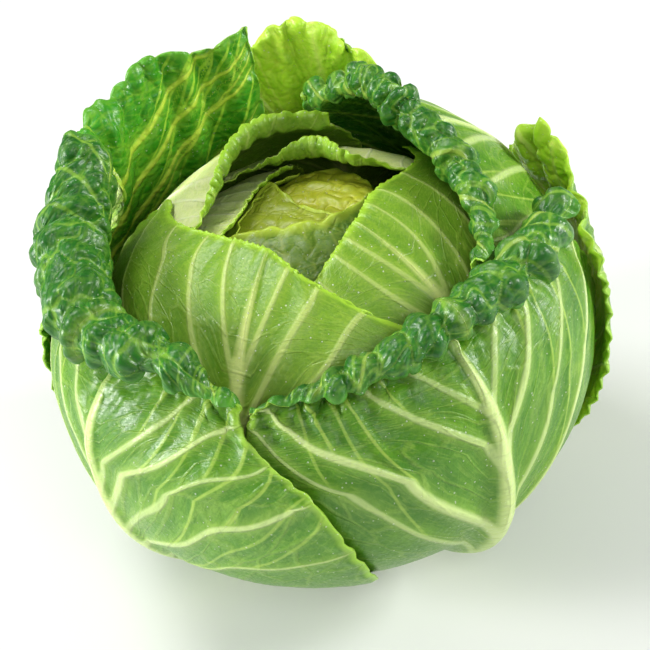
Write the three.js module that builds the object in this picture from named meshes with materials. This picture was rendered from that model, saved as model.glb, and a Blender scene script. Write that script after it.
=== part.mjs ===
// A head of cabbage cut from its stalk, standing on the cut.
// Millimetres and degrees, +Z up. The origin is the centre of the cut face, and -Y is the front.
// Every leaf starts on the stalk, follows its own layer of the ball and ends in a margin that
// rises from the ball and rolls outwards.

import * as THREE from 'three';

// Ball of the head

const CENTRE_HEIGHT = 87;
const BALL_RADIUS = 94.6;
const BALL_LOWER = 76;
const BALL_SQUARENESS = 0.8;
const BASE_ANGLE = 11;

// Stalk

const CUT_RADIUS = 16.5;
const CUT_CHAMFER = 0.6;
const STALK_SHOULDER_RADIUS = 25.4;
const STALK_SHOULDER_HEIGHT = 7;
const STALK_TOP_RADIUS = 17.4;
const STALK_TOP_HEIGHT = 37;
const STALK_TIP_RADIUS = 10;
const STALK_TIP_HEIGHT = 39.2;
const STALK_SIDES = 28;

// Heart: the dense young leaves, folded over one another

const HEART_RADIUS = 61.5;
const HEART_UPPER = 42;
const HEART_LOWER = 45.5;
const HEART_SIDES = 26;
const HEART_RINGS = 15;
const FOLD_DEPTH = 2.2;
const FOLD_SOFTNESS = 2.5;
const HEART_FOLDS = [
  { x: -4, y: -6, facing: 110 },
  { x: -4, y: 14, facing: 60 },
];
const CRUMPLE_DEPTH = 0.9;
const CRUMPLE_LENGTH = 21;

// Leaf blades

const TIGHTENING = 0.68;
const FIRST_ROLL_SHARE = 0.55;
const OUTER_THICKNESS = 1.3;
const INNER_THICKNESS = 1.1;

// Midrib and side ribs, from the stalk to the rim

const RIB_HEIGHTS = [0.8, 1, 0.8, 0.5, 0.28, 0.1];
const RIB_WIDTHS = [7.5, 8, 6.5, 4.5, 3.2, 2.4];
const SIDE_RIB_STARTS = [0.16, 0.3, 0.44, 0.58, 0.72];
const SIDE_RIB_BEND = 0.7;
const SIDE_RIB_WIDTH = 3.6;
const SIDE_RIB_FADE = 0.5;
const BLADE_LENGTH = 165;

// Ruffles and lobes of the margins

const RUFFLE_LENGTHS = [19, 31];
const RUFFLE_START = 0.82;
const LOBE_LENGTH = 46;

// Colours

const LEAF_OUTSIDE = 0x8fb85a;
const LEAF_DARK = 0x3f7d2c;
const LEAF_YOUNG = 0x9cc43f;
const HEART_YELLOW = 0xc4d24e;
const STALK_CREAM = 0xdfe3b4;

// Five equal values, for what stays the same across a leaf.
const level = (value) => Array(5).fill(value);

// Side ribs of one side as [start, reach, height]: start is where the rib leaves the midrib, as a
// share of the blade, reach how much further up it would meet the edge, and height its relief.
const evenRibs = (reach, height) => SIDE_RIB_STARTS.map((start) => [start, reach, height]);

// Leaves of the wrapper, from the outermost.
// left and right are half-widths in degrees at equal steps from the stalk to the rim. The other
// lists go from the left edge to the right: crown is how high the leaf's layer would close over
// the ball, rim the angle up the ball where the blade ends, rise the height of the margin above
// the rim, roll the radius of its curl and turn how far it curls.

const WRAPPER_LEAVES = [
  {
    name: 'wrapper_leaf_right', azimuth: 104, inset: -1.4, crown: level(50),
    left: [26, 30, 31, 30, 28], right: [26, 27, 26, 24, 22],
    rim: level(98), rise: [2, 12, 26, 22, 8], riseRadius: 110,
    roll: level(7), turn: [50, 50, 60, 50, 40],
    rib: 4.2, ruffle: 2.6, lobes: 3, colour: LEAF_OUTSIDE,
    leftRibs: evenRibs(0.6, 1),
    rightRibs: evenRibs(0.6, 1),
    columns: 16, bladeRows: 10, curlRows: 3,
  },
  {
    name: 'wrapper_leaf_left', azimuth: -136, inset: -4, crown: level(50),
    left: [26, 34, 34, 28, 20], right: [26, 34, 38, 40, 36],
    rim: level(98), rise: [10, 20, 22, 14, 6], riseRadius: 200,
    roll: level(8), turn: [30, 30, 40, 40, 30],
    rib: 4.2, ruffle: 2.2, lobes: 3, colour: LEAF_OUTSIDE,
    leftRibs: evenRibs(0.6, 1),
    rightRibs: evenRibs(0.6, 1),
    columns: 16, bladeRows: 10, curlRows: 3,
  },
  {
    name: 'wrapper_leaf_back', azimuth: 168, inset: -1.5, crown: level(50),
    left: [26, 34, 32, 28, 22], right: [26, 34, 36, 32, 26],
    rim: level(104), rise: [18, 40, 52, 50, 44], riseRadius: 120,
    roll: level(7), turn: [30, 50, 60, 50, 40],
    rib: 4, ruffle: 2.6, lobes: 3, colour: LEAF_YOUNG,
    leftRibs: evenRibs(0.6, 1),
    rightRibs: evenRibs(0.6, 1),
    columns: 18, bladeRows: 10, curlRows: 6,
  },
  {
    name: 'wrapper_leaf_front_left', azimuth: -62, inset: 0, crown: level(48),
    left: [26, 46, 52, 54, 53], right: [26, 58, 60, 52, 38],
    rim: [117, 120, 124, 129, 122], rise: [48, 22, 5, 0, 0], riseRadius: 66,
    roll: [9, 12.5, 12, 8.5, 4], turn: [200, 270, 280, 280, 190],
    rib: 6, ruffle: 1.3, lobes: 1, colour: LEAF_OUTSIDE,
    leftRibs: evenRibs(0.6, 1),
    rightRibs: [[0.32, 0.27, 0.9], [0.4, 0.33, 1.3], [0.47, 0.4, 1], [0.55, 0.43, 1.3], [0.61, 0.5, 1]],
    columns: 24, bladeRows: 10, curlRows: 6,
  },
  {
    name: 'wrapper_leaf_front_right', azimuth: 30, inset: 3.2, crown: [46, 46, 52, 58, 61],
    left: [26, 58, 62, 60, 52], right: [26, 50, 56, 56, 52],
    rim: [120, 126, 127, 124, 118], rise: [0, 0, 0, 0, 4], riseRadius: 60,
    roll: [3, 6.5, 8.5, 9, 7], turn: [150, 270, 280, 280, 200],
    rib: 8, ruffle: 1.3, lobes: 1, colour: LEAF_OUTSIDE,
    leftRibs: [[0.18, 0.8, 0.9], [0.36, 0.69, 2], [0.6, 0.65, 1], [0.74, 0.65, 0.7]],
    rightRibs: [[0.2, 0.75, 1.6], [0.4, 0.7, 1], [0.6, 0.65, 1.2], [0.74, 0.65, 0.7]],
    columns: 24, bladeRows: 10, curlRows: 6,
  },
  {
    name: 'wrapper_leaf_back_left', azimuth: -128, inset: 3.2, crown: level(50),
    left: [26, 50, 56, 56, 48], right: [26, 44, 38, 24, 9],
    rim: [104, 102, 103, 108, 118], rise: [58, 58, 46, 34, 10], riseRadius: 130,
    roll: [7, 7, 8, 7.5, 5], turn: [20, 40, 120, 140, 30],
    rib: 4, ruffle: 2.2, lobes: 4, colour: LEAF_DARK,
    leftRibs: evenRibs(0.6, 0.8),
    rightRibs: evenRibs(0.6, 0.8),
    columns: 24, bladeRows: 10, curlRows: 8,
  },
  {
    name: 'wrapper_leaf_back_right', azimuth: 115, inset: 7.5, crown: [54, 58, 71, 73, 64],
    left: [26, 50, 60, 66, 64], right: [26, 50, 58, 60, 58],
    rim: [130, 142, 152, 146, 134], rise: level(0), riseRadius: 60,
    roll: [4.6, 6.2, 5.5, 5, 4], turn: [180, 270, 280, 270, 200],
    rib: 5, ruffle: 1.4, lobes: 1, colour: LEAF_OUTSIDE,
    leftRibs: evenRibs(0.65, 1),
    rightRibs: evenRibs(0.65, 1),
    columns: 24, bladeRows: 10, curlRows: 6,
  },
];

// Leaves of the head, from the outermost

const HEAD_LEAVES = [
  {
    name: 'head_leaf_front', azimuth: -28, inset: 17.6, crown: level(56),
    left: [26, 55, 74, 90, 94], right: [26, 46, 60, 66, 62],
    rim: [138, 154, 157, 143, 118], rise: level(0), riseRadius: 60,
    roll: level(5), turn: level(20),
    rib: 3, ruffle: 0.8, lobes: 0, colour: LEAF_YOUNG,
    leftRibs: evenRibs(0.7, 0.9),
    rightRibs: evenRibs(0.75, 0.9),
    columns: 16, bladeRows: 12, curlRows: 1,
  },
  {
    name: 'head_leaf_right', azimuth: 40, inset: 20.8, crown: level(54),
    left: [26, 40, 50, 56, 56], right: [26, 60, 82, 96, 96],
    rim: [140, 154, 160, 158, 130], rise: level(0), riseRadius: 60,
    roll: level(5), turn: level(10),
    rib: 3, ruffle: 0.6, lobes: 0, colour: LEAF_YOUNG,
    leftRibs: evenRibs(0.7, 0.8),
    rightRibs: evenRibs(0.75, 0.8),
    columns: 16, bladeRows: 12, curlRows: 1,
  },
  {
    name: 'head_leaf_left', azimuth: -130, inset: 20.2, crown: [60, 62, 57, 51, 51],
    left: [26, 50, 66, 72, 70], right: [26, 50, 58, 52, 41],
    rim: [138, 146, 152, 151, 146], rise: [3, 3, 2, 1, 0], riseRadius: 60,
    roll: level(5), turn: [110, 130, 130, 110, 20],
    rib: 1.5, ruffle: 0.8, lobes: 0, colour: LEAF_YOUNG,
    leftRibs: evenRibs(0.65, 0.5),
    rightRibs: evenRibs(0.65, 0.5),
    columns: 14, bladeRows: 8, curlRows: 4,
  },
  {
    name: 'head_leaf_back', azimuth: 165, inset: 25, crown: level(51),
    left: [26, 50, 60, 64, 60], right: [26, 50, 60, 64, 60],
    rim: [138, 154, 151, 149, 138], rise: level(0), riseRadius: 60,
    roll: level(5), turn: [10, 110, 150, 70, 0],
    rib: 0.8, ruffle: 0.6, lobes: 0, colour: LEAF_YOUNG,
    leftRibs: evenRibs(0.65, 0.4),
    rightRibs: evenRibs(0.65, 0.4),
    columns: 14, bladeRows: 8, curlRows: 3,
  },
  {
    name: 'head_leaf_crown', azimuth: -130, inset: 28.5, crown: level(46),
    left: [26, 44, 52, 54, 50], right: [26, 44, 52, 54, 50],
    rim: [144, 153, 157, 157, 148], rise: level(0), riseRadius: 60,
    roll: level(4), turn: level(70),
    rib: 0.8, ruffle: 0.5, lobes: 0, colour: LEAF_YOUNG,
    leftRibs: evenRibs(0.65, 0.4),
    rightRibs: evenRibs(0.65, 0.4),
    columns: 14, bladeRows: 8, curlRows: 2,
  },
];

const toRadians = THREE.MathUtils.degToRad;
const clamp = THREE.MathUtils.clamp;

// A smooth curve through equally spaced values, read at t from 0 to 1.
function stations(values, t) {
  const last = values.length - 1;
  const place = clamp(t, 0, 1) * last;
  const start = Math.min(Math.floor(place), last - 1);
  const f = place - start;
  const before = values[Math.max(start - 1, 0)];
  const from = values[start];
  const to = values[start + 1];
  const after = values[Math.min(start + 2, last)];
  const slope = to - before;
  const bend = 2 * before - 5 * from + 4 * to - after;
  const twist = 3 * from - before - 3 * to + after;
  return 0.5 * (2 * from + slope * f + bend * f * f + twist * f * f * f);
}

// Radius and height, from the ball's centre, of a layer at an angle up from its lower pole.
function layerPoint(angle, inset, crown) {
  const radius = BALL_RADIUS - inset;
  const sine = Math.abs(Math.sin(toRadians(angle)));
  const cosine = Math.cos(toRadians(angle));
  if (angle < 90) {
    const lower = BALL_LOWER - inset;
    return { r: radius * sine ** BALL_SQUARENESS, z: -lower * cosine ** BALL_SQUARENESS };
  }
  return { r: radius * sine, z: -crown * cosine };
}

// One step along an arc that bends outwards, in the upright plane through the axis.
function followArc(point, arcRadius, length) {
  const heading = point.heading - length / arcRadius;
  const centreR = point.r + Math.sin(point.heading) * arcRadius;
  const centreZ = point.z - Math.cos(point.heading) * arcRadius;
  return {
    r: centreR - Math.sin(heading) * arcRadius,
    z: centreZ + Math.cos(heading) * arcRadius,
    heading,
  };
}

// Half-width of the leaf in degrees on the side that across names.
function halfWidth(leaf, across, blade) {
  return stations(across < 0 ? leaf.left : leaf.right, blade);
}

// Waves along the margin, from -1 to 1, by distance in millimetres.
function waves(distance, lengths) {
  const sum = lengths.reduce(
    (total, length, i) => total + Math.sin((2 * Math.PI * distance) / length + i * 1.7) / (i + 1), 0);
  return sum / 1.5;
}

// A point of the leaf's mid-surface. across runs from -1 at the left edge to 1 at the right,
// blade from 0 at the stalk to 1 at the rim, and curl from 0 at the rim to 1 at the margin.
function bladePoint(leaf, across, blade, curl) {
  const t = (across + 1) / 2;
  const rim = stations(leaf.rim, t);
  const azimuth = toRadians(leaf.azimuth + halfWidth(leaf, across, blade) * across);
  const crown = stations(leaf.crown, t);
  const start = layerPoint(BASE_ANGLE + (rim - BASE_ANGLE) * blade, leaf.inset, crown);
  const sine = Math.sin(toRadians(rim));
  const cosine = Math.cos(toRadians(rim));
  const heading = Math.atan2(crown * sine, (BALL_RADIUS - leaf.inset) * cosine);
  const margin = across * BALL_RADIUS * toRadians(halfWidth(leaf, across, 1));
  const rise = stations(leaf.rise, t) + leaf.lobes * waves(margin, [LOBE_LENGTH]);
  const riseLength = Math.max(rise, 0.5);
  const roll = stations(leaf.roll, t);
  const turn = toRadians(stations(leaf.turn, t));
  const firstLength = roll * turn * FIRST_ROLL_SHARE;
  const lastLength = roll * TIGHTENING * turn * (1 - FIRST_ROLL_SHARE);
  const length = curl * (riseLength + firstLength + lastLength);
  let point = { ...start, heading };
  point = followArc(point, leaf.riseRadius, Math.min(length, riseLength));
  point = followArc(point, roll, clamp(length - riseLength, 0, firstLength));
  point = followArc(point, roll * TIGHTENING, clamp(length - riseLength - firstLength, 0, lastLength));
  return new THREE.Vector3(
    point.r * Math.sin(azimuth), -point.r * Math.cos(azimuth), point.z + CENTRE_HEIGHT);
}

// How far the margin's ruffles push the blade along its normal.
function ruffle(leaf, across, blade, curl) {
  const distance = across * BALL_RADIUS * toRadians(halfWidth(leaf, across, blade));
  const rimShare = clamp((blade - RUFFLE_START) / (1 - RUFFLE_START), 0, 1);
  const share = 0.35 * rimShare + 0.65 * curl;
  return leaf.ruffle * share * waves(distance + leaf.azimuth, RUFFLE_LENGTHS);
}

// Height of the midrib above the outer face, offset millimetres away from its middle.
function midribHeight(leaf, offset, blade) {
  const width = stations(RIB_WIDTHS, blade);
  return leaf.rib * stations(RIB_HEIGHTS, blade) * Math.exp(-((offset / width) ** 2));
}

// Height of the side ribs, which leave the midrib and bend up towards the rim.
function sideRibHeight(leaf, across, offset, blade) {
  const span = Math.max(Math.abs(across), 0.02);
  const halfWidthLength = Math.max(offset / span, 1);
  const ribs = across < 0 ? leaf.leftRibs : leaf.rightRibs;
  const heights = ribs.map(([start, reach, height]) => {
    const line = start + reach * span ** SIDE_RIB_BEND;
    const steepness = reach * SIDE_RIB_BEND * span ** (SIDE_RIB_BEND - 1);
    const slope = (BLADE_LENGTH * steepness) / halfWidthLength;
    const gap = (BLADE_LENGTH * (blade - line)) / Math.hypot(1, slope);
    return height * Math.exp(-((gap / SIDE_RIB_WIDTH) ** 2));
  });
  return (1 - SIDE_RIB_FADE * span) * Math.max(...heights);
}

// Height of all ribs above the outer face, where the leaf is layerRadius from the axis.
function ribHeight(leaf, across, blade, curl, layerRadius) {
  const offset = Math.abs(across) * layerRadius * toRadians(halfWidth(leaf, across, blade));
  const midrib = midribHeight(leaf, offset, blade);
  return (1 - curl) * Math.max(midrib, sideRibHeight(leaf, across, offset, blade));
}

// Rows of the grid as blade and curl shares, from the stalk to the margin.
function gridRows(leaf) {
  const rows = [];
  for (let j = 0; j <= leaf.bladeRows; j += 1) {
    rows.push({ blade: j / leaf.bladeRows, curl: 0 });
  }
  for (let j = 1; j <= leaf.curlRows; j += 1) {
    rows.push({ blade: 1, curl: j / leaf.curlRows });
  }
  return rows;
}

// Unit normals of a grid of points, away from the head's axis on the blade.
function gridNormals(points, columns, rowCount) {
  const at = (i, j) => points[j * (columns + 1) + i];
  const normals = [];
  for (let j = 0; j < rowCount; j += 1) {
    for (let i = 0; i <= columns; i += 1) {
      const alongU = at(Math.min(i + 1, columns), j).clone().sub(at(Math.max(i - 1, 0), j));
      const alongV = at(i, Math.min(j + 1, rowCount - 1)).clone().sub(at(i, Math.max(j - 1, 0)));
      normals.push(alongU.cross(alongV).normalize());
    }
  }
  return normals;
}

// A closed blade: the same triangles on both faces, and a wall round the edge.
function closedBlade(outer, inner, columns, rowCount) {
  const stride = columns + 1;
  const positions = [...outer, ...inner].flatMap((point) => [point.x, point.y, point.z]);
  const innerStart = outer.length;
  const faces = [];
  for (let j = 0; j < rowCount - 1; j += 1) {
    for (let i = 0; i < columns; i += 1) {
      const a = j * stride + i;
      const b = a + 1;
      const c = b + stride;
      const d = a + stride;
      faces.push(a, b, c, a, c, d);
      faces.push(innerStart + a, innerStart + c, innerStart + b);
      faces.push(innerStart + a, innerStart + d, innerStart + c);
    }
  }
  const top = (rowCount - 1) * stride;
  const rim = [];
  for (let i = 0; i < columns; i += 1) {
    rim.push([i, i + 1], [top + i + 1, top + i]);
  }
  for (let j = 0; j < rowCount - 1; j += 1) {
    rim.push([j * stride + columns, (j + 1) * stride + columns], [(j + 1) * stride, j * stride]);
  }
  for (const [from, to] of rim) {
    faces.push(to, from, innerStart + from, to, innerStart + from, innerStart + to);
  }
  return closedGeometry(positions, faces);
}

function closedGeometry(positions, faces) {
  const geometry = new THREE.BufferGeometry();
  geometry.setAttribute('position', new THREE.Float32BufferAttribute(positions, 3));
  geometry.setIndex(faces);
  geometry.computeVertexNormals();
  return geometry;
}

function leafGeometry(leaf, thickness) {
  const rows = gridRows(leaf);
  const cells = rows.flatMap((row) => Array.from({ length: leaf.columns + 1 }, (_, i) => (
    { across: (2 * i) / leaf.columns - 1, ...row })));
  const flat = cells.map((cell) => bladePoint(leaf, cell.across, cell.blade, cell.curl));
  const flatNormals = gridNormals(flat, leaf.columns, rows.length);
  const waved = cells.map((cell, k) => flat[k].clone().addScaledVector(
    flatNormals[k], ruffle(leaf, cell.across, cell.blade, cell.curl)));
  const normals = gridNormals(waved, leaf.columns, rows.length);
  const outer = cells.map((cell, k) => {
    const layerRadius = Math.hypot(flat[k].x, flat[k].y);
    const rib = ribHeight(leaf, cell.across, cell.blade, cell.curl, layerRadius);
    return waved[k].clone().addScaledVector(normals[k], thickness / 2 + rib);
  });
  const inner = cells.map((cell, k) => waved[k].clone().addScaledVector(normals[k], -thickness / 2));
  return closedBlade(outer, inner, leaf.columns, rows.length);
}

function leafMesh(leaf, thickness) {
  const material = new THREE.MeshStandardMaterial({
    color: leaf.colour, roughness: 0.45, metalness: 0,
  });
  const mesh = new THREE.Mesh(leafGeometry(leaf, thickness), material);
  mesh.name = leaf.name;
  return mesh;
}

// Relief of the folded heart leaves over a point of the crown, below the full ball.
function heartRelief(x, y) {
  const folds = HEART_FOLDS.reduce((depth, fold) => {
    const facing = toRadians(fold.facing);
    const beyond = (x - fold.x) * Math.cos(facing) + (y - fold.y) * Math.sin(facing);
    return depth + FOLD_DEPTH * clamp(beyond / FOLD_SOFTNESS, 0, 1);
  }, 0);
  const crumple = waves(x + y, [CRUMPLE_LENGTH]) * waves(x - y, [CRUMPLE_LENGTH]);
  return folds + CRUMPLE_DEPTH * (1 + crumple);
}

function heartPoint(side, ring) {
  const azimuth = (2 * Math.PI * side) / HEART_SIDES;
  const angle = (Math.PI * ring) / HEART_RINGS;
  const r = HEART_RADIUS * Math.sin(angle);
  const height = -Math.cos(angle) * (ring * 2 < HEART_RINGS ? HEART_LOWER : HEART_UPPER);
  const x = r * Math.sin(azimuth);
  const y = -r * Math.cos(azimuth);
  const crown = clamp(height / HEART_UPPER, 0, 1);
  return [x, y, CENTRE_HEIGHT + height - crown * heartRelief(x, y)];
}

function heartMesh() {
  const positions = [heartPoint(0, 0)];
  for (let ring = 1; ring < HEART_RINGS; ring += 1) {
    for (let side = 0; side < HEART_SIDES; side += 1) {
      positions.push(heartPoint(side, ring));
    }
  }
  positions.push(heartPoint(0, HEART_RINGS));
  const top = positions.length - 1;
  const at = (side, ring) => 1 + (ring - 1) * HEART_SIDES + (side % HEART_SIDES);
  const faces = [];
  for (let side = 0; side < HEART_SIDES; side += 1) {
    faces.push(0, at(side + 1, 1), at(side, 1));
    faces.push(top, at(side, HEART_RINGS - 1), at(side + 1, HEART_RINGS - 1));
    for (let ring = 1; ring < HEART_RINGS - 1; ring += 1) {
      const a = at(side, ring);
      const b = at(side + 1, ring);
      const c = at(side + 1, ring + 1);
      const d = at(side, ring + 1);
      faces.push(a, b, c, a, c, d);
    }
  }
  const material = new THREE.MeshStandardMaterial({
    color: HEART_YELLOW, roughness: 0.5, metalness: 0,
  });
  const mesh = new THREE.Mesh(closedGeometry(positions.flat(), faces), material);
  mesh.name = 'heart';
  return mesh;
}

function stalkMesh() {
  const profile = [
    [0, 0],
    [CUT_RADIUS, 0],
    [CUT_RADIUS + CUT_CHAMFER, CUT_CHAMFER],
    [(CUT_RADIUS + STALK_SHOULDER_RADIUS) / 2, STALK_SHOULDER_HEIGHT / 2],
    [STALK_SHOULDER_RADIUS, STALK_SHOULDER_HEIGHT],
    [STALK_TOP_RADIUS, STALK_TOP_HEIGHT],
    [STALK_TIP_RADIUS, STALK_TIP_HEIGHT],
    [0, STALK_TIP_HEIGHT],
  ].map(([r, z]) => new THREE.Vector2(r, z));
  const geometry = new THREE.LatheGeometry(profile, STALK_SIDES);
  geometry.rotateX(Math.PI / 2);
  const material = new THREE.MeshStandardMaterial({
    color: STALK_CREAM, roughness: 0.55, metalness: 0,
  });
  const mesh = new THREE.Mesh(geometry, material);
  mesh.name = 'stem';
  return mesh;
}

const cabbage = new THREE.Group();
cabbage.add(stalkMesh(), heartMesh());
for (const leaf of HEAD_LEAVES) {
  cabbage.add(leafMesh(leaf, INNER_THICKNESS));
}
for (const leaf of WRAPPER_LEAVES) {
  cabbage.add(leafMesh(leaf, OUTER_THICKNESS));
}

export default cabbage;
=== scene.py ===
# A head of cabbage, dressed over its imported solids.
# Sizes below are millimetres and degrees unless a name says otherwise. Blender gets metres.

import math

import bpy
import numpy as np
from mathutils import Matrix, Vector


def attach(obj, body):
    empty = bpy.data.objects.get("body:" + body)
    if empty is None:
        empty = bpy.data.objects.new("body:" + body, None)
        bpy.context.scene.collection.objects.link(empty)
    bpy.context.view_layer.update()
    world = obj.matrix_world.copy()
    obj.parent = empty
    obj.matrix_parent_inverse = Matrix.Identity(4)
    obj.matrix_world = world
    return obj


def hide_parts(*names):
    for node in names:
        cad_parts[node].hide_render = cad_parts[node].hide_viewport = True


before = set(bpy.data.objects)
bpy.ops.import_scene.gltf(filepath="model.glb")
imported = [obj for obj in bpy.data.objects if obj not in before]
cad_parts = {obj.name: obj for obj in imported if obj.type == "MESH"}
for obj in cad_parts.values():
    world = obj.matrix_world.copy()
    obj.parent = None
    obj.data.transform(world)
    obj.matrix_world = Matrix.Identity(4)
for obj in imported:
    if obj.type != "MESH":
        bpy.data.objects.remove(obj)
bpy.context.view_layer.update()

MM = 0.001

# Ball of the head, as in the part's source

CENTRE_HEIGHT = 87
BALL_RADIUS = 94.6
BALL_LOWER = 76
BALL_SQUARENESS = 0.8
BASE_ANGLE = 11

# Leaf blades, as in the part's source

TIGHTENING = 0.68
FIRST_ROLL_SHARE = 0.55
OUTER_THICKNESS = 1.3
INNER_THICKNESS = 1.1
RIB_HEIGHTS = [0.8, 1, 0.8, 0.5, 0.28, 0.1]
RIB_WIDTHS = [7.5, 8, 6.5, 4.5, 3.2, 2.4]
SIDE_RIB_STARTS = [0.16, 0.3, 0.44, 0.58, 0.72]
SIDE_RIB_BEND = 0.7
SIDE_RIB_FADE = 0.5
BLADE_LENGTH = 165
RUFFLE_LENGTHS = [19, 31]
RUFFLE_START = 0.82
LOBE_LENGTH = 46

# Colour and relief of the veins, which only the looks have

SIDE_RIB_WIDTH = 2.9
SIDE_RIB_NARROWING = (1.15, 0.55)
RIB_LINE = 1.7
RIB_LINE_NARROWING = 1.4
RIB_LINE_STRENGTHS = (0.45, 0.4)
RIB_FADES = (0.25, 0.45)
MIDRIB_LINES = [6, 5.2, 3.9, 2.8, 2, 1.4]
MIDRIB_FADE = 0.8
FORK_PLACES = {"low": 0.28, "high": 0.58}
FORK_STEEPNESS = 1.7
FORK_WIDTH = 1.3
FORK_HEIGHT = 0.5
FORK_LINE = 0.75
FORK_FADES = (0.3, 0.5)
FORK_START = 0.05
FAR_LINE = 9
GLOW = 0.5

# Blisters between the veins: cells as (across, along), and the reach of their domes

NET_CELL = (21, 12)
NET_DOME = 6.5
NET_SLOPE = 0.6
ROLL_CELL = (15, 12)
ROLL_DOME = 5.8
ROLL_FROM = (0.84, 0.97)
MESH_CELL = (5, 4.4)
MESH_DOME = 2.2
MESH_SHARE = 0.13
MESH_SEED = 7
SWELL_LEAST = 0.1
SWELL_START = 0.86
BUBBLY_SWELL_START = 0.7
FLAT_ROUND_VEINS = 1.4
UNROLLED_ANGLE = 110

# Ruffles, folds, frills and notches of the margins

RUFFLE_SHARES = (0.35, 0.65)
FOLD_LENGTHS = [13, 21]
FOLD_PHASE = 2.5
FRILL_LENGTHS = [8.5, 14]
FRILL_STRETCH = 1.1
SIDE_FRILL_LENGTHS = [9, 15]
SIDE_FRILL_HEIGHT = 1.8
SIDE_FRILL_BAND = (0.88, 1)
SIDE_FRILL_FROM = (0.35, 0.6)
SIDE_NOTCH = 0.012
SIDE_NOTCH_BAND = (0.85, 1)
SIDE_NOTCH_FROM = (0.3, 0.6)
SCALLOP_LENGTH = 13
SCALLOP_SHARPNESS = 1.6
SCALLOP_DEPTH = 1.5
SCALLOP_MOST = 0.2
CORNER_START = 0.5
MARGIN_TAPER = 3.5
MARGIN_THINNING = 0.55
ROW_SPACING = 0.85

# Wanders, each as (height, wave lengths)

SCALLOP_WANDER = (3, [37, 23])
FOLD_WANDER = (4.9, [53])
RIB_WANDER = (1.5, [41, 26])
NET_WANDER = (2.2, [23, 37])
NET_DRIFT = (1.6, [19, 29])
ROLL_WANDER = (3.2, [17, 31])
ROLL_DRIFT = (3.4, [15, 33])
MESH_WANDER = (1.6, [17, 31])
MESH_DRIFT = (0.7, [9, 13])
PATCH_WANDER = (0.35, [27, 41])
PATCH_LEVEL = 0.75
PATCH_SLANT = 0.7

# Stalk

CUT_RADIUS = 16.5
CUT_CHAMFER = 0.6
STALK_PROFILE = [(18.8, 3.5), (25.4, 7), (24.2, 12), (17.4, 37), (10, 39.2)]
STALK_SIDES = 96

# Heart

HEART_RADIUS = 61.5
HEART_UPPER = 42
HEART_LOWER = 45.5


def level(value):
    return [value] * 5


def even_ribs(reach, height):
    """Side ribs of one side, as (start, reach, height), where starts follow the midrib evenly."""
    return [(start, reach, height) for start in SIDE_RIB_STARTS]


# Ribs that fan out above the rim of a leaf that stands open

FAN_RIBS = [(0.86, 0.42, 1.4), (0.98, 0.36, 1.3), (1.1, 0.3, 1.2)]


# Leaves, with the sizes of the part's source: left and right are half-widths in degrees from the
# stalk to the rim, and the other lists go from the left edge to the right.
# blister, fold and frill are heights of the finer relief, and scallop and right_corner shape the cut
# margin. bubbly leaves have fewer blisters, and lower down. vein_share weakens the veins' colour.
# grid is (columns, blade rows, curl rows).

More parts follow.
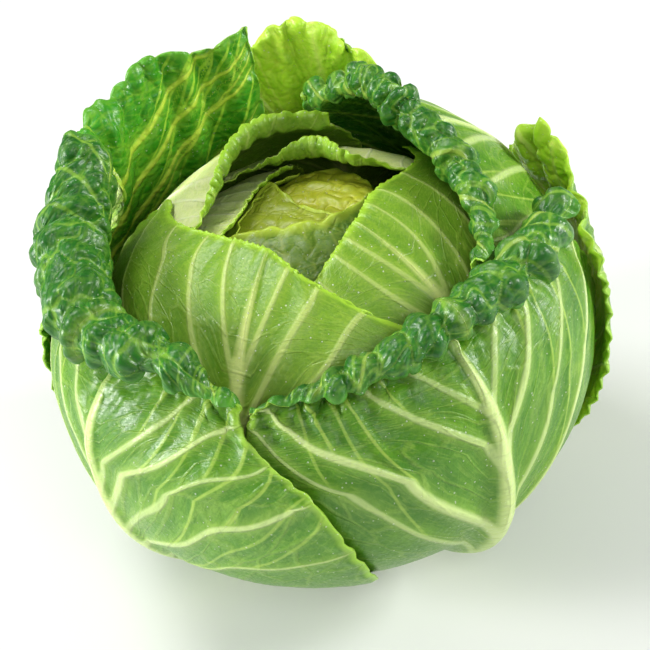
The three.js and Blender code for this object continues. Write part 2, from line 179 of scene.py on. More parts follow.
LEAVES = [
    dict(name="wrapper_leaf_right", slot="wrapper_leaf", azimuth=104, inset=-1.4, crown=level(50),
         left=[26, 30, 31, 30, 28], right=[26, 27, 26, 24, 22],
         rim=level(98), rise=[2, 12, 26, 22, 8], rise_radius=110,
         roll=level(7), turn=[50, 50, 60, 50, 40],
         rib=4.2, ruffle=2.6, lobes=3,
         left_ribs=even_ribs(0.6, 1), right_ribs=even_ribs(0.6, 1),
         blister=1.5, fold=0.9, frill=1.3, grid=(130, 60, 44), outside="wrapper", inside="young"),
    dict(name="wrapper_leaf_left", slot="wrapper_leaf", azimuth=-136, inset=-4, crown=level(50),
         left=[26, 34, 34, 28, 20], right=[26, 34, 38, 40, 36],
         rim=level(98), rise=[10, 20, 22, 14, 6], rise_radius=200,
         roll=level(8), turn=[30, 30, 40, 40, 30],
         rib=4.2, ruffle=2.2, lobes=3,
         left_ribs=even_ribs(0.6, 1), right_ribs=even_ribs(0.6, 1),
         blister=1.5, fold=0.9, frill=1.2, grid=(110, 50, 40), outside="wrapper", inside="green"),
    dict(name="wrapper_leaf_back", slot="wrapper_leaf", azimuth=168, inset=-1.5, crown=level(50),
         left=[26, 34, 32, 28, 22], right=[26, 34, 36, 32, 26],
         rim=level(104), rise=[18, 40, 52, 50, 44], rise_radius=120,
         roll=level(7), turn=[30, 50, 60, 50, 40],
         rib=4, ruffle=2.6, lobes=3,
         left_ribs=even_ribs(0.6, 1), right_ribs=even_ribs(0.6, 1),
         blister=1.3, fold=0.8, frill=1.2, bubbly=0.4, grid=(130, 56, 66),
         outside="wrapper", inside="young"),
    dict(name="wrapper_leaf_front_left", slot="wrapper_leaf", azimuth=-62, inset=0, crown=level(48),
         left=[26, 46, 52, 54, 53], right=[26, 58, 60, 52, 38],
         rim=[117, 120, 124, 129, 122], rise=[48, 22, 5, 0, 0], rise_radius=66,
         roll=[9, 12.5, 12, 8.5, 4], turn=[200, 270, 280, 280, 190],
         rib=6, ruffle=1.3, lobes=1,
         left_ribs=even_ribs(0.6, 1),
         right_ribs=[(0.32, 0.27, 0.9), (0.4, 0.33, 1.3), (0.47, 0.4, 1), (0.55, 0.43, 1.3),
                     (0.61, 0.5, 1)],
         blister=2, fold=1.9, frill=0.8, grid=(230, 80, 72), outside="wrapper", inside="dark"),
    dict(name="wrapper_leaf_front_right", slot="wrapper_leaf", azimuth=30, inset=3.2,
         crown=[46, 46, 52, 58, 61],
         left=[26, 58, 62, 60, 52], right=[26, 50, 56, 56, 52],
         rim=[120, 126, 127, 124, 118], rise=[0, 0, 0, 0, 4], rise_radius=60,
         roll=[3, 6.5, 8.5, 9, 7], turn=[150, 270, 280, 280, 200],
         rib=8, ruffle=1.3, lobes=1,
         left_ribs=[(0.18, 0.8, 0.9), (0.36, 0.69, 2), (0.6, 0.65, 1), (0.74, 0.65, 0.7)],
         right_ribs=[(0.2, 0.75, 1.6), (0.4, 0.7, 1), (0.6, 0.65, 1.2), (0.74, 0.65, 0.7)],
         blister=2, fold=1.9, frill=0.8, grid=(230, 80, 68), outside="wrapper", inside="dark"),
    dict(name="wrapper_leaf_back_left", slot="wrapper_leaf", azimuth=-128, inset=3.2, crown=level(50),
         left=[26, 50, 56, 56, 48], right=[26, 44, 38, 24, 9],
         rim=[104, 102, 103, 108, 118], rise=[58, 58, 46, 34, 10], rise_radius=130,
         roll=[7, 7, 8, 7.5, 5], turn=[20, 40, 120, 140, 30],
         rib=4, ruffle=2.2, lobes=4,
         left_ribs=even_ribs(0.6, 0.8) + FAN_RIBS, right_ribs=even_ribs(0.6, 0.8) + FAN_RIBS,
         blister=1.5, fold=0.9, frill=1.2, bubbly=0.45, right_corner=0.4, grid=(200, 52, 90),
         outside="wrapper", inside="green"),
    dict(name="wrapper_leaf_back_right", slot="wrapper_leaf", azimuth=115, inset=7.5,
         crown=[54, 58, 71, 73, 64],
         left=[26, 50, 60, 66, 64], right=[26, 50, 58, 60, 58],
         rim=[130, 142, 152, 146, 134], rise=level(0), rise_radius=60,
         roll=[4.6, 6.2, 5.5, 5, 4], turn=[180, 270, 280, 270, 200],
         rib=5, ruffle=1.4, lobes=1,
         left_ribs=even_ribs(0.65, 1), right_ribs=even_ribs(0.65, 1),
         blister=2, fold=1.8, frill=0.8, grid=(220, 74, 66), outside="wrapper", inside="dark"),
    dict(name="head_leaf_front", slot="head_leaf", azimuth=-28, inset=17.6, crown=level(56),
         left=[26, 55, 74, 90, 94], right=[26, 46, 60, 66, 62],
         rim=[138, 154, 157, 143, 118], rise=level(0), rise_radius=60,
         roll=level(5), turn=level(20),
         rib=3, ruffle=0.8, lobes=0,
         left_ribs=even_ribs(0.7, 0.9), right_ribs=even_ribs(0.75, 0.9),
         blister=0.25, fold=0.3, frill=0.7, scallop=0.2, vein_share=0.9, grid=(140, 88, 8),
         outside="head", inside="head"),
    dict(name="head_leaf_right", slot="head_leaf", azimuth=40, inset=20.8, crown=level(54),
         left=[26, 40, 50, 56, 56], right=[26, 60, 82, 96, 96],
         rim=[140, 154, 160, 158, 130], rise=level(0), rise_radius=60,
         roll=level(5), turn=level(10),
         rib=3, ruffle=0.6, lobes=0,
         left_ribs=even_ribs(0.7, 0.8), right_ribs=even_ribs(0.75, 0.8),
         blister=0.15, fold=0.15, frill=0.3, scallop=0.1, vein_share=0.75, grid=(140, 84, 6),
         outside="head", inside="head"),
    dict(name="head_leaf_left", slot="head_leaf", azimuth=-130, inset=20.2,
         crown=[60, 62, 57, 51, 51],
         left=[26, 50, 66, 72, 70], right=[26, 50, 58, 52, 41],
         rim=[138, 146, 152, 151, 146], rise=[3, 3, 2, 1, 0], rise_radius=60,
         roll=level(5), turn=[110, 130, 130, 110, 20],
         rib=1.5, ruffle=0.8, lobes=0,
         left_ribs=even_ribs(0.65, 0.5), right_ribs=even_ribs(0.65, 0.5),
         blister=0.7, fold=0.4, frill=0.5, grid=(120, 60, 36), outside="pale", inside="head"),
    dict(name="head_leaf_back", slot="head_leaf", azimuth=165, inset=25, crown=level(51),
         left=[26, 50, 60, 64, 60], right=[26, 50, 60, 64, 60],
         rim=[138, 154, 151, 149, 138], rise=level(0), rise_radius=60,
         roll=level(5), turn=[10, 110, 150, 70, 0],
         rib=0.8, ruffle=0.6, lobes=0,
         left_ribs=even_ribs(0.65, 0.4), right_ribs=even_ribs(0.65, 0.4),
         blister=0.7, fold=0.4, frill=0.5, grid=(110, 54, 26), outside="pale", inside="head"),
    dict(name="head_leaf_crown", slot="head_leaf", azimuth=-130, inset=28.5, crown=level(46),
         left=[26, 44, 52, 54, 50], right=[26, 44, 52, 54, 50],
         rim=[144, 153, 157, 157, 148], rise=level(0), rise_radius=60,
         roll=level(4), turn=level(70),
         rib=0.8, ruffle=0.5, lobes=0,
         left_ribs=even_ribs(0.65, 0.4), right_ribs=even_ribs(0.65, 0.4),
         blister=0.5, fold=0.3, frill=0.4, grid=(110, 54, 16), outside="pale", inside="head"),
]


def stations(values, t):
    """A smooth curve through equally spaced values, read at t from 0 to 1."""
    values = np.asarray(values, float)
    last = len(values) - 1
    place = np.clip(t, 0, 1) * last
    start = np.minimum(place.astype(int), last - 1)
    f = place - start
    before = values[np.maximum(start - 1, 0)]
    begin = values[start]
    end = values[start + 1]
    after = values[np.minimum(start + 2, last)]
    slope = end - before
    bend = 2 * before - 5 * begin + 4 * end - after
    twist = 3 * begin - before - 3 * end + after
    return 0.5 * (2 * begin + slope * f + bend * f**2 + twist * f**3)


def waves(distance, lengths):
    """Waves from -1 to 1 along a distance in millimetres."""
    total = sum(np.sin(2 * math.pi * distance / length + i * 1.7) / (i + 1)
                for i, length in enumerate(lengths))
    return total / 1.5


def stray(distance, wander):
    """A wander, read at a distance."""
    return wander[0] * waves(distance, wander[1])


def smooth_step(low, high, x):
    t = np.clip((x - low) / (high - low), 0, 1)
    return t * t * (3 - 2 * t)


def half_width(leaf, across, blade):
    return np.where(across < 0, stations(leaf["left"], blade), stations(leaf["right"], blade))


def width_on_ball(leaf, across, blade):
    """Millimetres from the midrib, measured round the ball's widest circle."""
    return across * BALL_RADIUS * np.radians(half_width(leaf, across, blade))


def layer_point(angle, inset, crown):
    """Radius and height, from the ball's centre, of a layer at an angle up from its lower pole."""
    radius = BALL_RADIUS - inset
    sine = np.abs(np.sin(np.radians(angle)))
    cosine = np.cos(np.radians(angle))
    below = angle < 90
    lower = BALL_LOWER - inset
    r = np.where(below, radius * sine**BALL_SQUARENESS, radius * sine)
    z = np.where(below, -lower * np.abs(cosine) ** BALL_SQUARENESS, -crown * cosine)
    return r, z


def follow_arc(r, z, heading, arc_radius, length):
    """One step along an arc that bends outwards, in the upright plane through the axis."""
    turned = heading - length / arc_radius
    r = r + (np.sin(heading) - np.sin(turned)) * arc_radius
    z = z - (np.cos(heading) - np.cos(turned)) * arc_radius
    return r, z, turned


def curl_lengths(leaf, across):
    """Lengths of the margin's rise and of its two arcs."""
    t = (across + 1) / 2
    margin = width_on_ball(leaf, across, np.ones_like(across))
    rise = stations(leaf["rise"], t) + leaf["lobes"] * waves(margin, [LOBE_LENGTH])
    roll = stations(leaf["roll"], t)
    turn = np.radians(stations(leaf["turn"], t))
    first = roll * turn * FIRST_ROLL_SHARE
    last = roll * TIGHTENING * turn * (1 - FIRST_ROLL_SHARE)
    return np.maximum(rise, 0.5), first, last


def length_from_stalk(leaf, across, blade, curl):
    return BLADE_LENGTH * blade + curl * sum(curl_lengths(leaf, across))


def blade_point(leaf, across, blade, curl):
    """Points of the leaf's mid-surface, without its ruffles."""
    t = (across + 1) / 2
    rim = stations(leaf["rim"], t)
    azimuth = np.radians(leaf["azimuth"] + half_width(leaf, across, blade) * across)
    crown = stations(leaf["crown"], t)
    r, z = layer_point(BASE_ANGLE + (rim - BASE_ANGLE) * blade, leaf["inset"], crown)
    sine = np.sin(np.radians(rim))
    cosine = np.cos(np.radians(rim))
    heading = np.arctan2(crown * sine, (BALL_RADIUS - leaf["inset"]) * cosine)
    rise, first, last = curl_lengths(leaf, across)
    roll = stations(leaf["roll"], t)
    length = curl * (rise + first + last)
    r, z, heading = follow_arc(r, z, heading, leaf["rise_radius"], np.minimum(length, rise))
    r, z, heading = follow_arc(r, z, heading, roll, np.clip(length - rise, 0, first))
    r, z, heading = follow_arc(r, z, heading, roll * TIGHTENING, np.clip(length - rise - first, 0, last))
    return np.stack([r * np.sin(azimuth), -r * np.cos(azimuth), z + CENTRE_HEIGHT], axis=-1)


def normals_of(surface, across, along):
    """Unit normals of a surface, away from the head's axis on the blade."""
    step = 0.002
    left, right = np.clip(across - step, -1, 1), np.clip(across + step, -1, 1)
    low, high = np.clip(along - step, 0, 1), np.clip(along + step, 0, 1)
    over = surface(right, along) - surface(left, along)
    up = surface(across, high) - surface(across, low)
    normal = np.cross(over, up)
    return normal / np.maximum(np.linalg.norm(normal, axis=-1, keepdims=True), 1e-12)


def scallops(distance, phase):
    """Notches along a margin, from 0 between them to 1 in each."""
    wandering = distance + stray(distance + phase, SCALLOP_WANDER)
    return (1 - np.abs(np.sin(math.pi * wandering / SCALLOP_LENGTH))) ** SCALLOP_SHARPNESS


class LeafSheet:
    """One leaf as a sheet: across runs from -1 to 1 and along from 0 at the stalk to 1 at the margin."""

    def __init__(self, leaf):
        self.leaf = leaf
        columns, blade_rows, curl_rows = leaf["grid"]
        self.columns = columns
        self.rows = blade_rows + curl_rows
        self.blade_share = blade_rows / self.rows

    def shares(self, across, along):
        """Shares of the blade and of the margin's curl, the last with its scalloped edge."""
        leaf = self.leaf
        blade = np.clip(along / self.blade_share, 0, 1) ** ROW_SPACING
        curl = np.clip((along - self.blade_share) / (1 - self.blade_share), 0, 1)
        notch = scallops(width_on_ball(leaf, across, blade), leaf["azimuth"])
        depth = SCALLOP_DEPTH * leaf.get("scallop", leaf["frill"]) * notch
        depth = depth / sum(curl_lengths(leaf, across))
        corner = leaf.get("right_corner", 0) * smooth_step(CORNER_START, 1, across)
        return blade, curl * (1 - np.clip(depth, 0, SCALLOP_MOST) * curl) * (1 - corner)

    def flat(self, across, along):
        """Points of the mid-surface with its side notches."""
        leaf = self.leaf
        blade, curl = self.shares(across, along)
        notch = scallops(length_from_stalk(leaf, across, blade, curl), leaf["azimuth"])
        band = smooth_step(*SIDE_NOTCH_BAND, np.abs(across)) * smooth_step(*SIDE_NOTCH_FROM, blade)
        depth = SIDE_NOTCH * leaf.get("scallop", 1) * notch * band
        return blade_point(leaf, across * (1 - depth), blade, curl)

    def place(self, across, along):
        """Millimetres across and along the sheet, as if it lay flat."""
        leaf = self.leaf
        blade, curl = self.shares(across, along)
        t = (across + 1) / 2
        angle = BASE_ANGLE + (stations(leaf["rim"], t) - BASE_ANGLE) * blade
        r, _ = layer_point(np.minimum(angle, UNROLLED_ANGLE), leaf["inset"], stations(leaf["crown"], t))
        x = across * r * np.radians(half_width(leaf, across, blade))
        return x, length_from_stalk(leaf, across, blade, curl)

    def ruffle(self, across, along):
        """Height of the ruffles, folds and frills, outwards from the mid-surface."""
        leaf = self.leaf
        blade, curl = self.shares(across, along)
        distance = width_on_ball(leaf, across, blade)
        rim_share = np.clip((blade - RUFFLE_START) / (1 - RUFFLE_START), 0, 1)
        share = RUFFLE_SHARES[0] * rim_share + RUFFLE_SHARES[1] * curl
        broad = leaf["ruffle"] * share * waves(distance + leaf["azimuth"], RUFFLE_LENGTHS)
        slanted = distance + curl * stray(distance, FOLD_WANDER)
        fold = leaf["fold"] * share * waves(slanted + FOLD_PHASE * leaf["azimuth"], FOLD_LENGTHS)
        frill = leaf["frill"] * curl**3 * waves(distance * FRILL_STRETCH + leaf["inset"], FRILL_LENGTHS)
        length = length_from_stalk(leaf, across, blade, curl)
        band = smooth_step(*SIDE_FRILL_BAND, np.abs(across)) * smooth_step(*SIDE_FRILL_FROM, blade)
        lift = 0.5 + 0.5 * waves(length, SIDE_FRILL_LENGTHS)
        return broad + fold + frill + SIDE_FRILL_HEIGHT * leaf["frill"] * band * lift

    def waved(self, across, along):
        normal = normals_of(self.flat, across, along)
        return self.flat(across, along) + normal * self.ruffle(across, along)[:, None]


CELL_REPEAT = 97
CELL_STRAY = 0.86


def cell_border_gap(x, y, cell, seed):
    """Distance to the border of the irregular cell that holds each point, for cells of a size."""
    x = x / cell[0]
    y = y / cell[1]
    draws = np.random.default_rng(seed).random((CELL_REPEAT, CELL_REPEAT, 2))
    jitter = draws * CELL_STRAY + (1 - CELL_STRAY) / 2
    column = np.floor(x).astype(int)
    row = np.floor(y).astype(int)
    nearest = np.full(x.shape, 1e9)
    second = np.full(x.shape, 1e9)
    near_point = np.zeros(x.shape + (2,))
    second_point = np.zeros(x.shape + (2,))
    for i in range(-2, 3):
        for j in range(-2, 3):
            offset = jitter[(column + i) % CELL_REPEAT, (row + j) % CELL_REPEAT]
            point = np.stack([column + i + offset[..., 0], row + j + offset[..., 1]], axis=-1)
            distance = np.hypot(point[..., 0] - x, point[..., 1] - y)
            closer = distance < nearest
            between = ~closer & (distance < second)
            second = np.where(closer, nearest, np.where(between, distance, second))
            second_point = np.where(closer[..., None], near_point,
                                    np.where(between[..., None], point, second_point))
            nearest = np.where(closer, distance, nearest)
            near_point = np.where(closer[..., None], point, near_point)
    apart = np.maximum(np.hypot(*np.moveaxis(second_point - near_point, -1, 0)), 1e-6)
    return (second**2 - nearest**2) / (2 * apart) * math.sqrt(cell[0] * cell[1])


def midrib_height(leaf, offset, blade):
    width = stations(RIB_WIDTHS, blade)
    return leaf["rib"] * stations(RIB_HEIGHTS, blade) * np.exp(-((offset / width) ** 2))


def nearest_line(gaps, half_width_of_line):
    """Which line is nearest, and the gap to it in half-widths, signed so that it has no jump."""
    nearest = np.argmin(np.abs(gaps), axis=0)
    gap = np.take_along_axis(gaps, nearest[None], 0)[0]
    return nearest, np.where(nearest % 2 == 0, gap, -gap) / half_width_of_line


# Shares that a leaf's mesh hands to its material: how much of a rib's surroundings and of the midrib a
# point is, millimetres to the net of veins and to the finer mesh between them, height on its blister
# from 0 to 1, millimetres to the margin, place up the blade from 0 at the stalk, and 1 on the curl.
# The line shares draw the side ribs and their forks: half-widths to the line, and its strength.

SHARES = ["vein", "middle", "net", "mesh", "dome", "edge", "up", "curled"]
LINE_SHARES = ["rib_line", "rib_fade", "low_line", "low_fade", "high_line", "high_fade"]


def resting_share(name):
    """What a share says where there is no rib or fork."""
    return FAR_LINE if name.endswith("line") else 0


def line_gaps(along_share, lines, steepness, half_length):
    """Millimetres from each point to each line, square to the line."""
    return BLADE_LENGTH * (along_share - lines) / np.hypot(1, BLADE_LENGTH * steepness / half_length)


def side_veins(leaf, across, offset, along_share):
    """The side ribs and their forks: their height, and what the colour needs to draw them crisply."""
    span = np.maximum(np.abs(across), 0.02)
    half_length = np.maximum(offset / span, 1)
    made = {name: np.full_like(across, resting_share(name)) for name in ["height", "glow"] + LINE_SHARES}
    width = SIDE_RIB_WIDTH * (SIDE_RIB_NARROWING[0] - SIDE_RIB_NARROWING[1] * span)
    for sign, ribs in ((-1, leaf["left_ribs"]), (1, leaf["right_ribs"])):
        side = np.sign(across + 1e-9) == sign
        starts, reaches, strengths = (np.array(column)[:, None] for column in zip(*ribs))
        steepness = reaches * SIDE_RIB_BEND * span ** (SIDE_RIB_BEND - 1)
        gaps = line_gaps(along_share, starts + reaches * span**SIDE_RIB_BEND, steepness, half_length)
        veins = np.exp(-((gaps / width) ** 2))
        fade = np.minimum(1, RIB_FADES[0] + RIB_FADES[1] * strengths) * leaf.get("vein_share", 1)
        nearest, line = nearest_line(gaps, RIB_LINE * (RIB_LINE_NARROWING - span))
        widening = RIB_LINE_STRENGTHS[0] + RIB_LINE_STRENGTHS[1] * strengths[nearest, 0]
        drawn = dict(height=np.max(strengths * veins, axis=0) * (1 - SIDE_RIB_FADE * span),
                     glow=np.max(veins * fade, axis=0), rib_line=line / widening,
                     rib_fade=fade[nearest, 0])
        for name, place in FORK_PLACES.items() if leaf["slot"] == "wrapper_leaf" else []:
            slopes = reaches * FORK_STEEPNESS
            lines = starts + reaches * place**SIDE_RIB_BEND + slopes * (span - place)
            gaps = line_gaps(along_share, lines, slopes, half_length)
            begun = smooth_step(place, place + FORK_START, span)
            veins = np.exp(-((gaps / FORK_WIDTH) ** 2)) * begun
            drawn["height"] = np.maximum(drawn["height"], np.max(FORK_HEIGHT * strengths * veins, axis=0))
            nearest, drawn[name + "_line"] = nearest_line(gaps, FORK_LINE)
            fork_fade = np.minimum(1, FORK_FADES[0] + FORK_FADES[1] * strengths)
            drawn[name + "_fade"] = fork_fade[nearest, 0] * begun
        for name, values in drawn.items():
            made[name] = np.where(side, values, made[name])
    return made


def dome_height(gap, reach):
    return np.sin(np.clip(gap / reach, 0, 1) * math.pi / 2)


def blisters(leaf, blade, x, y, bent, vein):
    """Millimetres to the two nets of veins, height on a blister from 0 to 1, and how far it bulges."""
    azimuth = leaf["azimuth"]
    seed = int(abs(azimuth))
    blade_net = cell_border_gap(x + stray(bent + azimuth, NET_WANDER), bent + stray(x, NET_DRIFT),
                                NET_CELL, seed)
    roll_net = cell_border_gap(x + stray(y + azimuth, ROLL_WANDER), y + stray(x + y, ROLL_DRIFT),
                               ROLL_CELL, seed + 1)
    mesh = cell_border_gap(x + stray(y + azimuth, MESH_WANDER), y + stray(x, MESH_DRIFT),
                           MESH_CELL, MESH_SEED)
    near_rim = smooth_step(*ROLL_FROM, blade) * leaf.get("bubbly", 1)
    net = blade_net + (roll_net - blade_net) * near_rim
    blade_dome = dome_height(blade_net, NET_DOME)
    dome = blade_dome + (dome_height(roll_net, ROLL_DOME) - blade_dome) * near_rim
    dome = dome * np.clip(1 - FLAT_ROUND_VEINS * vein, 0, 1)
    start = BUBBLY_SWELL_START if "bubbly" in leaf else SWELL_START
    swell = SWELL_LEAST + (1 - SWELL_LEAST) * smooth_step(start, 1.0, blade)
    patch = PATCH_LEVEL + stray(x + PATCH_SLANT * y, PATCH_WANDER)
    small = dome_height(mesh, MESH_DOME)
    bulge = leaf["blister"] * swell * (patch * (dome - 0.5) + MESH_SHARE * (small - 0.5))
    return dict(net=net, mesh=mesh, dome=dome, bulge=bulge)


def leaf_relief(sheet, across, along):
    """Relief of a leaf, as rib and bulge, and the shares that its material reads."""
    leaf = sheet.leaf
    blade, curl = sheet.shares(across, along)
    x, y = sheet.place(across, along)
    offset = np.abs(x)
    along_share = y / BLADE_LENGTH
    strayed = along_share + stray(x + leaf["azimuth"], RIB_WANDER) / BLADE_LENGTH
    side_ribs = side_veins(leaf, across, offset, strayed)
    middle = np.exp(-((offset / stations(MIDRIB_LINES, blade)) ** 4)) * leaf.get("vein_share", 1)
    middle = middle * (1 - MIDRIB_FADE * smooth_step(0.85, 1, blade))
    vein = np.maximum(GLOW * side_ribs["glow"], middle)
    bent = y - NET_SLOPE * BLADE_LENGTH * np.maximum(np.abs(across), 0.06) ** SIDE_RIB_BEND
    top = (1 - blade) * BLADE_LENGTH + (1 - curl) * sum(curl_lengths(leaf, across))
    side = (1 - np.abs(across)) * BALL_RADIUS * np.radians(half_width(leaf, across, blade))
    relief = blisters(leaf, blade, x, y, bent, vein)
    relief.update({name: side_ribs[name] for name in LINE_SHARES})
    relief.update(rib=np.maximum(midrib_height(leaf, offset, blade), side_ribs["height"]) * (1 - curl),
                  vein=vein, middle=middle, up=along_share, edge=np.minimum(top, side),
                  curled=smooth_step(0.9, 1, blade),
                  drawn=y + (bent - y) * (1 - smooth_step(0.8, 1, blade)))
    return relief


def deselect_all():
    bpy.ops.object.select_all(action="DESELECT")


def read_vertices(mesh):
    places = np.zeros(len(mesh.vertices) * 3, np.float32)
    mesh.vertices.foreach_get("co", places)
    return places.reshape(-1, 3).astype(float)


def write_vertices(mesh, points):
    mesh.vertices.foreach_set("co", (points * MM).astype(np.float32).ravel())
    mesh.update()


def write_share(mesh, name, values):
    share = mesh.attributes.new(name, "FLOAT", "POINT")
    share.data.foreach_set("value", values.astype(np.float32))


def write_sheet_map(mesh, x, y):
    """Places along and across the finest veins, in metres, as the piece's own map."""
    corners = np.zeros(len(mesh.loops), np.int32)
    mesh.loops.foreach_get("vertex_index", corners)
    places = np.stack([x, y], axis=-1)[corners] * MM
    mesh.uv_layers[0].data.foreach_set("uv", places.astype(np.float32).ravel())


def thicken(piece, thickness):
    """Gives the sheet its thickness outwards, as much as each vertex asks for."""
    group = piece.vertex_groups.new(name="thickness")
    most = float(thickness.max())
    for index, value in enumerate(thickness / most):
        group.add([index], float(value), "REPLACE")
    solid = piece.modifiers.new("thickness", "SOLIDIFY")
    solid.thickness = most * MM
    solid.offset = 1
    solid.vertex_group = group.name
    solid.material_offset = 1
    bpy.context.view_layer.objects.active = piece
    bpy.ops.object.modifier_apply(modifier=solid.name)
    piece.vertex_groups.clear()


def make_leaf(leaf, materials):
    """A leaf from a flat grid: bent to its layer, ruffled, blistered and thickened with its ribs."""
    sheet = LeafSheet(leaf)
    deselect_all()
    bpy.ops.mesh.primitive_grid_add(x_subdivisions=sheet.columns, y_subdivisions=sheet.rows, size=2)
    piece = bpy.context.object
    piece.name = leaf["name"] + "_blade"
    mesh = piece.data
    grid = read_vertices(mesh)
    across = np.clip(grid[:, 0], -1, 1)
    along = np.clip((grid[:, 1] + 1) / 2, 0, 1)
    relief = leaf_relief(sheet, across, along)
    waved = sheet.waved(across, along)
    normal = normals_of(sheet.waved, across, along)
    thickness = OUTER_THICKNESS if leaf["slot"] == "wrapper_leaf" else INNER_THICKNESS
    inner = waved - normal * (thickness / 2 + relief["bulge"])[:, None]
    write_vertices(mesh, inner)
    write_sheet_map(mesh, sheet.place(across, along)[0], relief["drawn"])
    for name in SHARES + LINE_SHARES:
        write_share(mesh, name, relief[name])
    mesh.materials.append(materials[leaf["outside"] + "_outside"])
    mesh.materials.append(materials[leaf["inside"] + "_inside"])
    taper = 1 - MARGIN_THINNING * (1 - smooth_step(0, MARGIN_TAPER, relief["edge"]))
    thicken(piece, thickness * taper + relief["rib"])
    deselect_all()
    piece.select_set(True)
    bpy.context.view_layer.objects.active = piece
    bpy.ops.object.shade_smooth()
    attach(piece, "root")
    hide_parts(leaf["name"])


# Heart: a closed ball with four young leaves folded over its crown
# Each fold has points from the ball's centre, along its hidden base and along its margin.

CORE_DROP = 7
HEART_THICKNESS = 0.9
HEART_LEAVES = [
    dict(base=[(-36, -22, 30), (-24, -38, 24), (-8, -46, 21), (10, -46, 21), (26, -38, 24),
               (40, -20, 28)],
         margin=[(-27, 0, 38), (-17, -2, 41), (-7, -5, 42.4), (3, -6, 42.6), (13, -3, 42), (24, 8, 39)],
         lift=1.2, crumple=0.25, bow=1.8, flap=(2.6, 0.88), seed=11, young=0.1),
    dict(base=[(-30, -4, 31), (-22, -12, 33), (-12, -16, 34), (-4, -17, 35), (4, -16, 35), (12, -12, 35),
               (20, -8, 34)],
         margin=[(-25, 8, 36), (-20, 17, 37), (-9, 29, 38.5), (-5, 21, 38.5), (0, 12, 38.5), (8, 5, 38.5),
                 (19, -1, 37)],
         lift=0.6, crumple=0.45, bow=1.6, flap=(1.8, 0.88), seed=12, young=0.55),
    dict(base=[(-14, 2, 33), (-6, 2, 34), (2, 1, 35), (10, -1, 35.5), (18, -4, 35), (27, -7, 34)],
         margin=[(-16, 30, 31), (-5, 35, 33.5), (7, 36, 35.5), (17, 32, 36), (24, 22, 36), (28, 8, 35)],
         lift=-0.6, crumple=0.8, bow=3.4, flap=(1.2, 0.86), seed=13, young=1.0),
    dict(base=[(-38, -4, 30), (-36, 8, 31), (-29, 22, 31), (-18, 34, 29), (-8, 42, 27)],
         margin=[(-24, 1, 38.8), (-20.5, 11, 39.6), (-14, 20, 39.8), (-6, 29, 38.8), (2, 34, 37)],
         lift=0.5, crumple=0.3, bow=1.0, flap=(0.8, 0.8), seed=14, young=0.3),
]
FOLD_GRID = (70, 60)
FLAP_LEVEL = 0.6
FLAP_WANDER = (0.4, [13, 21])
FLAP_STRETCH = 60
FOLD_SWELL = (0.6, [17, 27])
FOLD_NOTCH = (0.8, [9, 15])
NOTCH_STRETCH = 70
FOLD_VEINS = 3.4
FOLD_VEIN_SHARE = 0.55
FOLD_VEIN_WIDTH = 0.12
FOLD_LENGTH = 40
CRUMPLE_CELL = (12, 8)
CRUMPLE_DOME = 4.5
CRUMPLE_WANDER = (2.6, [9, 17])
CRUMPLE_DRIFT = (2.6, [8, 15])
WRINKLE_WANDER = (2, [11, 19])
WRINKLE = (0.2, [4.5, 7])
WRINKLE_SLANT = 0.6
CORE_SEED = 5
CORE_EDGE = 20
CORE_UP = 0.2
HEART_NET_SCALE = 1.6


def crumpled(x, y, seed):
    """Border gap and dome height of the crumples of a young leaf."""
    gap = cell_border_gap(x + stray(y + seed, CRUMPLE_WANDER), y + stray(x + seed, CRUMPLE_DRIFT),
                          CRUMPLE_CELL, seed)
    wrinkle = stray(x * WRINKLE_SLANT + y + stray(x, WRINKLE_WANDER), WRINKLE)
    return gap, (1 - WRINKLE[0]) * dome_height(gap, CRUMPLE_DOME) + wrinkle


def finish_share(mesh, materials, x, y, gap, dome, edge, up, vein):
    """Gives a heart piece its materials and the shares that they read."""
    values = dict(vein=vein, net=gap * HEART_NET_SCALE, mesh=gap, dome=dome, edge=edge, up=up)
    for name in SHARES + LINE_SHARES:
        write_share(mesh, name, values.get(name, resting_share(name)) * np.ones_like(x))
    write_sheet_map(mesh, x, y)
    mesh.materials.append(materials["heart"])
    mesh.materials.append(materials["heart"])


def make_heart_core(materials):
    deselect_all()
    bpy.ops.mesh.primitive_uv_sphere_add(segments=96, ring_count=64, radius=1)
    piece = bpy.context.object
    mesh = piece.data
    ball = read_vertices(mesh)
    x = ball[:, 0] * HEART_RADIUS
    y = ball[:, 1] * HEART_RADIUS
    height = ball[:, 2] * np.where(ball[:, 2] < 0, HEART_LOWER, HEART_UPPER - CORE_DROP)
    write_vertices(mesh, np.stack([x, y, CENTRE_HEIGHT + height], axis=-1))
    gap, dome = crumpled(x, y, CORE_SEED)
    finish_share(mesh, materials, x, y, gap, dome, CORE_EDGE, CORE_UP, 0)
    return piece


